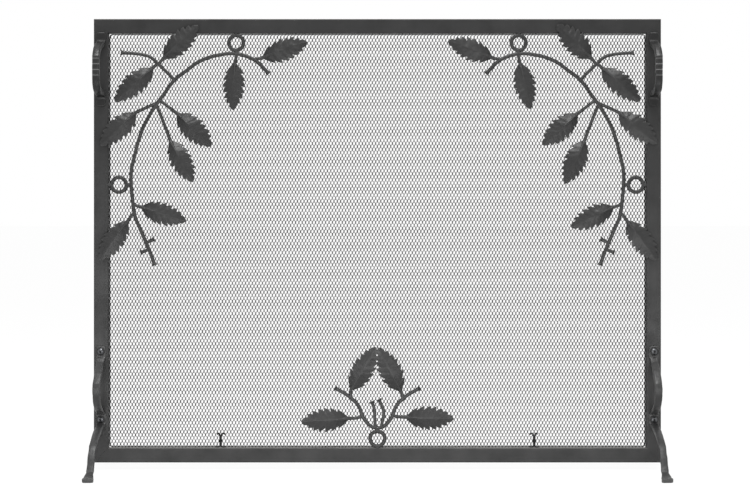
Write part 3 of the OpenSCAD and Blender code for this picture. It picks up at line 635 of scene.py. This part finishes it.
def outline(s):
    """The blade's outline at a share of its length, not yet scaled to its width."""
    return s ** BASE_POWER * (1 - s) ** TIP_POWER


def leaf_half(s):
    """Half the width of a leaf at a share of its length."""
    widest = BASE_POWER / (BASE_POWER + TIP_POWER)
    return LEAF_W / 2 * outline(s) / outline(widest)


def leaf_rise(s):
    """How far the midrib stands forward: up over the frame, then down to the tip."""
    if s < CREST:
        return leaf_lift * math.sin(math.radians(90 * s / CREST))
    return leaf_lift * (1 - TIP_DROP * ((s - CREST) / (1 - CREST)) ** 2)


# Rows across one tooth: share of its length, share of the notch's depth, height of the vein
TOOTH_ROWS = [(0.0, 1.0, -0.4), (0.35, 0.42, 0.05), (0.78, 0.0, 0.32)]
TEETH_START = 0.03     # the teeth begin at this share of the length
TEETH_SPAN = 0.93      # and take up this share of it


def leaf_rows():
    """Rows across the blade: place, half width on each side, and how high the vein stands."""
    rows = [(0.0, 3.1, 3.1, 0.0)]
    for k in range(TEETH):
        for part, cut, vein in TOOTH_ROWS:
            s = TEETH_START + TEETH_SPAN * (k + part) / TEETH
            rows.append((s, leaf_half(s) * (1 - NOTCHES[-1][k] * cut),
                         leaf_half(s) * (1 - NOTCHES[1][k] * cut), vein))
    return rows + [(1.0, 0.5, 0.5, 0.0)]


def forged_leaf():
    """The blade, from its base at the origin along X, with its face towards Z."""
    rows = leaf_rows()
    bpy.ops.object.select_all(action="DESELECT")
    bpy.ops.mesh.primitive_grid_add(x_subdivisions=len(rows) - 1, y_subdivisions=8, size=1)
    blade = bpy.context.object
    bpy.ops.object.mode_set(mode="EDIT")
    bpy.ops.mesh.select_all(action="DESELECT")
    mesh = bmesh.from_edit_mesh(blade.data)
    mesh.verts.ensure_lookup_table()
    step = 1 / (len(rows) - 1)
    by_row = [[v for v in mesh.verts if abs(v.co.x + 0.5 - n * step) < step / 4]
              for n in range(len(rows))]
    for line, (s, left, right, vein) in zip(by_row, rows):
        for vert in line:
            # The edge waves up and down a little, and the blade dips between the veins
            share = 2 * vert.co.y
            w = (left if share < 0 else right) * abs(share)
            curl = 0.5 * math.sin(9 * s + (1.3 if share < 0 else 0)) * abs(share) ** 2
            hollow = vein * math.sin(math.pi * min(abs(share), 1)) * min(1, w / 5)
            rise = leaf_rise(s) - w * math.tan(math.radians(LEAF_FOLD)) + hollow + curl
            vert.co = Vector(((s * LEAF_L + VEIN_LEAN * w) * MM,
                              math.copysign(w, share) * MM if share else 0, rise * MM))
    bmesh.update_edit_mesh(blade.data)
    bpy.ops.mesh.select_all(action="SELECT")
    bpy.ops.mesh.normals_make_consistent(inside=False)
    bpy.ops.object.mode_set(mode="OBJECT")
    wall = blade.modifiers.new("sheet", "SOLIDIFY")
    wall.thickness = LEAF_T * MM
    wall.offset = -1 if blade.data.polygons[0].normal.z > 0 else 1
    wall.edge_crease_rim = 0.8
    wall.edge_crease_outer = wall.edge_crease_inner = 0.8
    fine = blade.modifiers.new("fine", "SUBSURF")
    fine.subdivision_type = "SIMPLE"
    fine.levels = fine.render_levels = 1
    apply_modifiers(blade)
    return blade


# The frame's powder coat over dents 9 mm across: patches of soft gloss, paler worn teeth, and the
# same paler colour on the ridges as a painted highlight
leaf_paint = painted_steel("satin_powder_coat_on_hammered_leaf", "242424", "404040", 0.42, 9, 0.9,
                           mottle=0.3)
CORNER_LEAVES = [
    # what it grows from, a place on the stalk, the start of the blade, its heading, the
    # extra turn of the right-hand one, and how long the blade is beside the pattern
    ((88, 53), (92, 47.5), (96, 43), -42.5, -1, 1),
    ((86, 52.5), (81, 56.5), (77, 60.5), 138, 0, 1.05),
    ((224, 36), (222.5, 43.5), (221, 51), 92, 10, 1),
    ((252, 45), (261, 44), (269, 42), -19, -1, 1),
    ((89, 116), (106, 129), (120, 140), 43.5, -2, 1),
    ((84, 126), (97, 157), (108, 187), 61, 4, 1),
    ((83.5, 121.5), (65.5, 129.6), (47, 138.5), 136, 4, 1),
    ((43, 298), (50, 301), (57, 303), 17, 8, 1),
    ((45.5, 312), (39, 320), (33, 328), 125, 1, 1)]
BOTTOM_LEAVES = [
    ("left", (27, 54.5), (38, 52), (50, 51.5), -3, 1),
    ("left", (44.5, 85.5), (46.5, 93), (46.3, 101), 120, 1.05),
    ("right", (43, 84), (43.8, 91.5), (41.2, 98.5), 117, 1.05),
    ("right", (28, 56), (39, 54), (50, 53.5), -1, 1)]
# The stalk under the blade: share of the blade's length, and how far under the midrib
UNDER_BLADE = [(0.05, 0.9), (0.14, 1.2), (0.3, 1.3), (0.5, 1.2), (0.72, 1.0)]
STALK_SHARES = [1, 0.97, 1.1, 1.05, 0.66, 0.42, 0.32, 0.2]
master_leaf = forged_leaf()
chance = random.Random(7)


def leaf(node, place, foot, mid, base, angle, longer):
    """A copy of the forged blade with its own stalk, and with its own hammer marks."""
    blade = master_leaf.copy()
    blade.data = master_leaf.data.copy()
    bpy.context.scene.collection.objects.link(blade)
    ahead = (math.cos(math.radians(angle)), math.sin(math.radians(angle)))
    heading = (place(ahead) - place((0, 0))).normalized()
    facing = Vector((0, -1, 0))
    across = facing.cross(heading)
    turn = Matrix((heading, across, facing)).transposed().to_4x4()
    wide = 1 + chance.uniform(0.0, 0.1)
    flip = chance.choice((-1, 1))
    blade.data.transform(Matrix.Diagonal((longer, wide * flip, 1, 1)))
    blade.data.transform(Matrix.Translation(place(base)) @ turn)
    if flip < 0:
        blade.data.flip_normals()
    line = [place(foot), place(mid), place(base)]
    line += [place(Vector(base) + Vector(ahead) * LEAF_L * s, leaf_rise(s) - under)
             for s, under in UNDER_BLADE]
    stalk = bent_bar("stalk", line, STALK / 2 * MM, STALK_SHARES, sides=10, steps=5)
    uneven(blade, "leaf_hammering", 11, 1.3)
    apply_modifiers(blade)
    uneven(stalk, "hammer_marks", 7, 0.35)
    apply_modifiers(stalk)
    smoothed(stalk)
    smoothed(blade, 40)
    piece = join(node + "_forged", [blade, stalk])
    finish_with(piece, leaf_paint)
    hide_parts(node)


for side in ("left", "right"):
    for n, (foot, mid, base, angle, extra, longer) in enumerate(CORNER_LEAVES, 1):
        leaf(f"{side}_leaf_{n}", from_stile(side), foot, mid, base,
             angle + (extra if side == "right" else 0), longer)
for n, (side, foot, mid, base, angle, longer) in enumerate(BOTTOM_LEAVES, 1):
    leaf(f"bottom_leaf_{n}", from_rail(side), foot, mid, base, angle, longer)
bpy.data.objects.remove(master_leaf)

# ---------- Handles ----------
# Each pull is one length of 12 mm square bar: its ends are flattened into tabs and welded to
# the stile, its arms are bent out, and its grip is scored across by blows of a set hammer.


def smooth_line(points, steps):
    """A smooth line of stations through the given ones; every station is a tuple."""
    line = []
    for i in range(len(points) - 1):
        a, b = points[max(i - 1, 0)], points[i]
        c, d = points[i + 1], points[min(i + 2, len(points) - 1)]
        for k in range(steps):
            t = k / steps
            line.append(tuple(0.5 * (2 * q + (r - p) * t + (2 * p - 5 * q + 4 * r - u) * t * t
                                     + (3 * q - p - 3 * r + u) * t ** 3)
                              for p, q, r, u in zip(a, b, c, d)))
    return line + [points[-1]]


def lean_selected(angle, centre):
    """Turns what is selected about X. Without a window the tool turns the other way."""
    bpy.ops.transform.rotate(value=-angle, orient_axis="X", center_override=centre)


# Hammering rounds each edge of a bar off by this share of its width and thickness
EDGE_CUT = 0.2


def draw_out(name, stations):
    """Forges a bar from stations of place out from the frame, height, width and thickness,
    all in mm. The bar lies in the upright plane through X = 0 and stands towards -Y."""
    places = [Vector((0, -out * MM, height * MM)) for out, height, _, _ in stations]
    bpy.ops.object.select_all(action="DESELECT")
    bpy.ops.mesh.primitive_plane_add(size=1, location=places[0])
    bar = bpy.context.object
    bar.name = name
    bpy.ops.object.transform_apply(location=True, rotation=True, scale=True)
    bpy.ops.object.mode_set(mode="EDIT")
    bpy.ops.mesh.select_all(action="SELECT")
    bpy.ops.mesh.bevel(offset=EDGE_CUT, offset_type="OFFSET", segments=3, affect="VERTICES")
    bpy.ops.mesh.select_all(action="SELECT")
    last_lean, last_width, last_thick = 0.0, 1, 1
    for i, (here, (out, height, width, thick)) in enumerate(zip(places, stations)):
        ahead = places[min(i + 1, len(places) - 1)] - places[max(i - 1, 0)]
        lean = math.atan2(-ahead.y, ahead.z)
        if i:
            bpy.ops.mesh.extrude_region_move(
                TRANSFORM_OT_translate={"value": here - places[i - 1]})
            lean_selected(-last_lean, here)
        bpy.ops.transform.resize(value=(width * MM / last_width, thick * MM / last_thick, 1),
                                 center_override=here)
        lean_selected(lean, here)
        last_lean, last_width, last_thick = lean, width * MM, thick * MM
    bpy.ops.mesh.select_all(action="SELECT")
    bpy.ops.mesh.normals_make_consistent(inside=False)
    bpy.ops.object.mode_set(mode="OBJECT")
    return bar


def hammered(piece, size, depth):
    """Splits the faces once and dents them; size and depth of the dents are in mm."""
    fine = piece.modifiers.new("fine", "SUBSURF")
    fine.subdivision_type = "SIMPLE"
    fine.levels = fine.render_levels = 1
    uneven(piece, "hammer_marks", size, depth)


# The rounded end of a pad: mm from its tip, share of its width, share of its thickness
PAD_END = [(0, 0.42, 0.5), (0.5, 0.7, 0.85), (1.2, 0.82, 1), (2.4, 0.91, 1), (5, 1, 1)]


def rounded_end(height, width, thick, down):
    """Stations from the tip of a pad; down is 1 where the bar hangs from this end."""
    return [(left * thick / 2, height - down * drop, width * share, left * thick)
            for drop, share, left in PAD_END]


def seated(piece, reach):
    """Keeps a bar in front of its seat, above the floor and within its reach."""
    for vert in piece.data.vertices:
        vert.co.y = -min(max(-vert.co.y, 0), reach * MM)
        vert.co.z = max(vert.co.z, 0)


BAR = 12.0
TAB_W = 17.0
TAB_H = 17.0
TAB_T = 3.5
REACH = 54.0
GRIP = 36.0
MARKS = (15.3, 5.5, -4.3, -14.1)    # up from the middle of the grip
LIP_UNDER = 0.5        # the painted highlight line stands this far under each mark
LIP_HALF = 0.65        # and is twice this high
TAPER = 0.35           # share of the reach in which the tab's width runs out into the bar's
low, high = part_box("left_handle")
handle_h = (high.z - low.z) / MM
handle_z = (low.z + high.z) / 2 / MM
arm_drop = (handle_h - GRIP) / 2 - TAB_H
stile_middle = (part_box("frame_left_stile")[0].x + inner_left) / 2
# Share of the reach, share of the drop and thickness, from the tab to the grip
UPPER_ARM = [(0.06, 1, 5.2), (0.17, 0.85, 9), (0.37, 0.73, 10.8), (0.56, 0.635, BAR),
             (0.7, 0.525, BAR), (0.82, 0.38, BAR), (0.915, 0.195, BAR), (0.975, 0.03, BAR)]
LOWER_ARM = [(0.06, 1, 5.2), (0.17, 0.87, 9), (0.37, 0.8, 10.8), (0.56, 0.765, BAR),
             (0.72, 0.695, BAR), (0.85, 0.58, BAR), (0.94, 0.405, BAR), (0.985, 0.205, BAR)]
# Across each mark: how far up from its place, and how much of the bar is left there
MARK_STEPS = [(-1.5, 1.0), (0.2, 0.9), (0.6, 0.9), (1.4, 1.0)]


def handle_arm(shares, up):
    """Stations of an arm, from its tab to the grip; up is 1 above the grip."""
    line = [(TAB_T / 2, handle_z + up * (GRIP / 2 + arm_drop + 5), TAB_W, TAB_T)]
    line += [(out * REACH, handle_z + up * (GRIP / 2 + drop * arm_drop),
              BAR + (TAB_W - BAR) * max(0, 1 - out / TAPER), thick) for out, drop, thick in shares]
    line.append((REACH, handle_z + up * (GRIP / 2 - 0.5), BAR, BAR))
    return rounded_end(handle_z + up * handle_h / 2, TAB_W, TAB_T, up) + smooth_line(line, 3)


scored = [(REACH - 0.5 * (1 - left) * BAR, handle_z + mark + up, BAR * (1 + left) / 2, BAR * left)
          for mark in MARKS[::-1] for up, left in MARK_STEPS]
stations = handle_arm(LOWER_ARM, -1) + scored + handle_arm(UPPER_ARM, 1)[::-1]
# The frame's powder coat on forged bar: shallow flats of gloss, edges worn grey by hands, and the
# same grey on the ridges as a painted highlight
handle_paint = painted_steel("satin_powder_coat_on_forged_bar", "181818", "5a5a5a", 0.4, 6, 0.5)
# A painted highlight: a light line of paint on the lower lip of each blow, which faces up to the
# light
lip_highlight = painted_steel("powder_coat_painted_highlight_at_a_lip", "5a5a5a", "7a7a7a", 0.35, 4, 0.1)
for side, across in (("left", -1), ("right", 1)):
    pull = draw_out(side + "_pull", stations)
    hammered(pull, 9, 0.5)
    apply_modifiers(pull)
    seated(pull, REACH + BAR / 2)
    pull.data.transform(Matrix.Translation((across * abs(stile_middle), front_y, 0)))
    smoothed(pull, 30)
    finish_with(pull, handle_paint)
    pull.data.materials.append(lip_highlight)
    # Faces at the lower lip of each mark, on the grip's front, take the painted highlight
    for face in pull.data.polygons:
        off = min(abs(face.center.z / MM - handle_z - mark + LIP_UNDER) for mark in MARKS)
        if off < LIP_HALF and face.center.y < front_y - (REACH - 2) * MM:
            face.material_index = 1
    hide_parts(side + "_handle")

# ---------- Feet ----------
# Four feet forged from 12.5 x 7 mm flat bar: two flattened pads bolted to the stile, a bow
# between them, and a sweep down to a splayed toe. The edges keep their hammer marks.

LEG_W = 12.5
LEG_T = 7.0
PAD_W = 17.0
PAD_T = 3.6
NECK_W = 15.3          # where the bar leaves the lower pad
NECK_T = 4.9
BOW_NECK_T = 5.2       # and where the bow leaves the upper one
BOW = 50.0
REAR_BOW = 0.45        # a rear foot bows out less
PAD_HIGH = 21          # from the top of the foot down to the bow
BOW_LOW = 100.5
PAD_LOW = 76.5
STRUCK = 0.93
TOE_FROM = 0.925       # share of the reach beyond which the toe is painted paler
leg_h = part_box("front_left_leg")[1].z / MM
leg_reach = (front_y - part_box("front_left_leg")[0].y) / MM
bow_high = leg_h - PAD_HIGH
# The bow from its top down: share of its height, share of its reach
BOW_SHARES = [(0.93, 0.12), (0.84, 0.34), (0.757, 0.57), (0.66, 0.78), (0.56, 0.955), (0.45, 1),
              (0.343, 0.965), (0.225, 0.82), (0.16, 0.69), (0.09, 0.47), (0.035, 0.2)]
# The sweep down to the toe: share of the reach, share of the pad's height
FRONT_SWEEP = [(0.035, 1.03), (0.085, 1.005), (0.17, 0.98), (0.285, 0.935), (0.4, 0.87),
               (0.515, 0.79), (0.605, 0.69), (0.67, 0.58), (0.715, 0.468), (0.757, 0.344),
               (0.802, 0.22), (0.84, 0.155)]
REAR_SWEEP = [(0.035, 0.88), (0.11, 0.66), (0.22, 0.47), (0.38, 0.32), (0.56, 0.215),
              (0.72, 0.145), (0.82, 0.11)]
# The toe: share of the reach, then height, width and thickness in mm
TOE = [(0.9, 7.4, 15.4, 7.4), (0.943, 4.4, 17.1, 8.8), (0.972, 4.2, 18.6, 8.4),
       (0.993, 4, 18.6, 7.7), (0.9985, 3.85, 15.2, 6.3)]


def leg_line(rear):
    """Stations of a foot, from its upper pad over the bow and the lower pad to the toe."""
    deep = BOW * (REAR_BOW if rear else 1)
    bow = [(PAD_T / 2, bow_high + 2, PAD_W, PAD_T)]
    bow += [(PAD_T / 2 + out * deep, BOW_LOW + up * (bow_high - BOW_LOW), LEG_W,
             BOW_NECK_T if out < 0.15 else LEG_T) for up, out in BOW_SHARES]
    bow.append((PAD_T / 2, BOW_LOW - 3, PAD_W, PAD_T))
    foot = [(PAD_T / 2, PAD_LOW + 6, PAD_W, PAD_T)]
    for n, (out, up) in enumerate(REAR_SWEEP if rear else FRONT_SWEEP):
        # Every other station of the lower sweep is struck a little thinner and narrower
        struck = STRUCK if n % 2 and out > 0.5 else 1
        foot.append((out * leg_reach, up * PAD_LOW, NECK_W if out < 0.05 else LEG_W * struck,
                     NECK_T if out < 0.05 else LEG_T * struck))
    foot += [(out * leg_reach, height, width, thick) for out, height, width, thick in TOE]
    return rounded_end(leg_h, PAD_W, PAD_T, 1) + smooth_line(bow, 3) + smooth_line(foot, 3)


# The frame's powder coat on hammered bar: broad dents, grey worn edges, and the same grey on the
# ridges as a painted highlight
leg_paint = painted_steel("satin_powder_coat_on_hammered_flat_bar", "2a2a2a", "707070", 0.38, 7,
                          0.7)
# The toes are painted paler and greyer than the rest of the foot: painted light, standing in for
# light from above on the toe
toe_painted_light = painted_steel("powder_coat_on_toe_painted_paler", "3c3c3c", "8a8a8a", 0.42, 5, 0.6)
for rear in (False, True):
    for side, across in (("left", -1), ("right", 1)):
        node = ("rear_" if rear else "front_") + side + "_leg"
        # The smith's blows leave the bar a little wider here and narrower there
        foot = draw_out(node + "_forged", [(out, height, width * chance.uniform(0.98, 1.02), thick)
                                           for out, height, width, thick in leg_line(rear)])
        hammered(foot, 10, 0.6)
        apply_modifiers(foot)
        seated(foot, leg_reach)
        if rear:
            foot.data.transform(Matrix.Diagonal((1, -1, 1, 1)))
            foot.data.flip_normals()
        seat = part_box(node)[0].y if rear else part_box(node)[1].y
        foot.data.transform(Matrix.Translation((across * abs(stile_middle), seat, 0)))
        smoothed(foot, 30)
        finish_with(foot, leg_paint)
        foot.data.materials.append(toe_painted_light)
        # Faces beyond TOE_FROM take the paler paint, which is painted light
        for face in foot.data.polygons:
            if abs(face.center.y - seat) > TOE_FROM * leg_reach * MM:
                face.material_index = 1
        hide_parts(node)

# ---------- Bolts, washers and nuts ----------
# Button-head bolts with hexagon sockets run through pad, stile and rear pad. They stand on
# washers, and each has a nut at the back; they are zinc plated and left unpainted.

LOWER_BOLT = 88.5      # its height
UPPER_BOLT = 9         # below the top of the foot
SOCKET_R = 2.35


def merged_copy(node, name):
    """A new object with the CAD node's mesh, its loose triangles joined."""
    bpy.ops.object.select_all(action="DESELECT")
    copy = bpy.data.objects.new(name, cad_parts[node].data.copy())
    bpy.context.scene.collection.objects.link(copy)
    bpy.context.view_layer.objects.active = copy
    copy.select_set(True)
    bpy.ops.object.mode_set(mode="EDIT")
    bpy.ops.mesh.select_all(action="SELECT")
    bpy.ops.mesh.remove_doubles(threshold=0.00001)
    bpy.ops.object.mode_set(mode="OBJECT")
    return copy


def eased_copy(node, name, radius):
    """The CAD node's own shape with its sharp edges broken."""
    piece = merged_copy(node, name)
    edge = piece.modifiers.new("eased_edges", "BEVEL")
    edge.width = radius * MM
    edge.segments = 2
    edge.angle_limit = math.radians(40)
    apply_modifiers(piece)
    smoothed(piece, 25)
    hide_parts(node)
    return piece


# Bright zinc gone grey: a small highlight on each head, with darker stains of handling
bolt_zinc = plated_steel("zinc_plated_bolt_steel", "6a6b6d", "3c3d3f", 0.34)
# Near-black paint in the sockets is painted shade in their recesses, and the washers are near-black
socket_shade = painted_steel("socket_painted_shade", "050505", "0a0a0a", 0.6, 2, 0.02)
washer_black = painted_steel("near_black_washer", "0c0c0c", "232323", 0.5, 2, 0.03)
bolts = eased_copy("leg_bolts", "button_bolts", 0.15)
finish_with(bolts, bolt_zinc)
bolts.data.materials.append(socket_shade)
# Faces inside each socket take the painted shade
for face in bolts.data.polygons:
    above = min(abs(face.center.z - z * MM) for z in (LOWER_BOLT, leg_h - UPPER_BOLT))
    across = math.hypot(abs(face.center.x) - abs(stile_middle), above)
    if across < SOCKET_R * MM and face.center.y < front_y - PAD_T * MM:
        face.material_index = 1
finish_with(eased_copy("leg_nuts", "hexagon_nuts", 0.25), bolt_zinc)
finish_with(eased_copy("leg_washers", "flat_washers", 0.12), washer_black)

low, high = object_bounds()
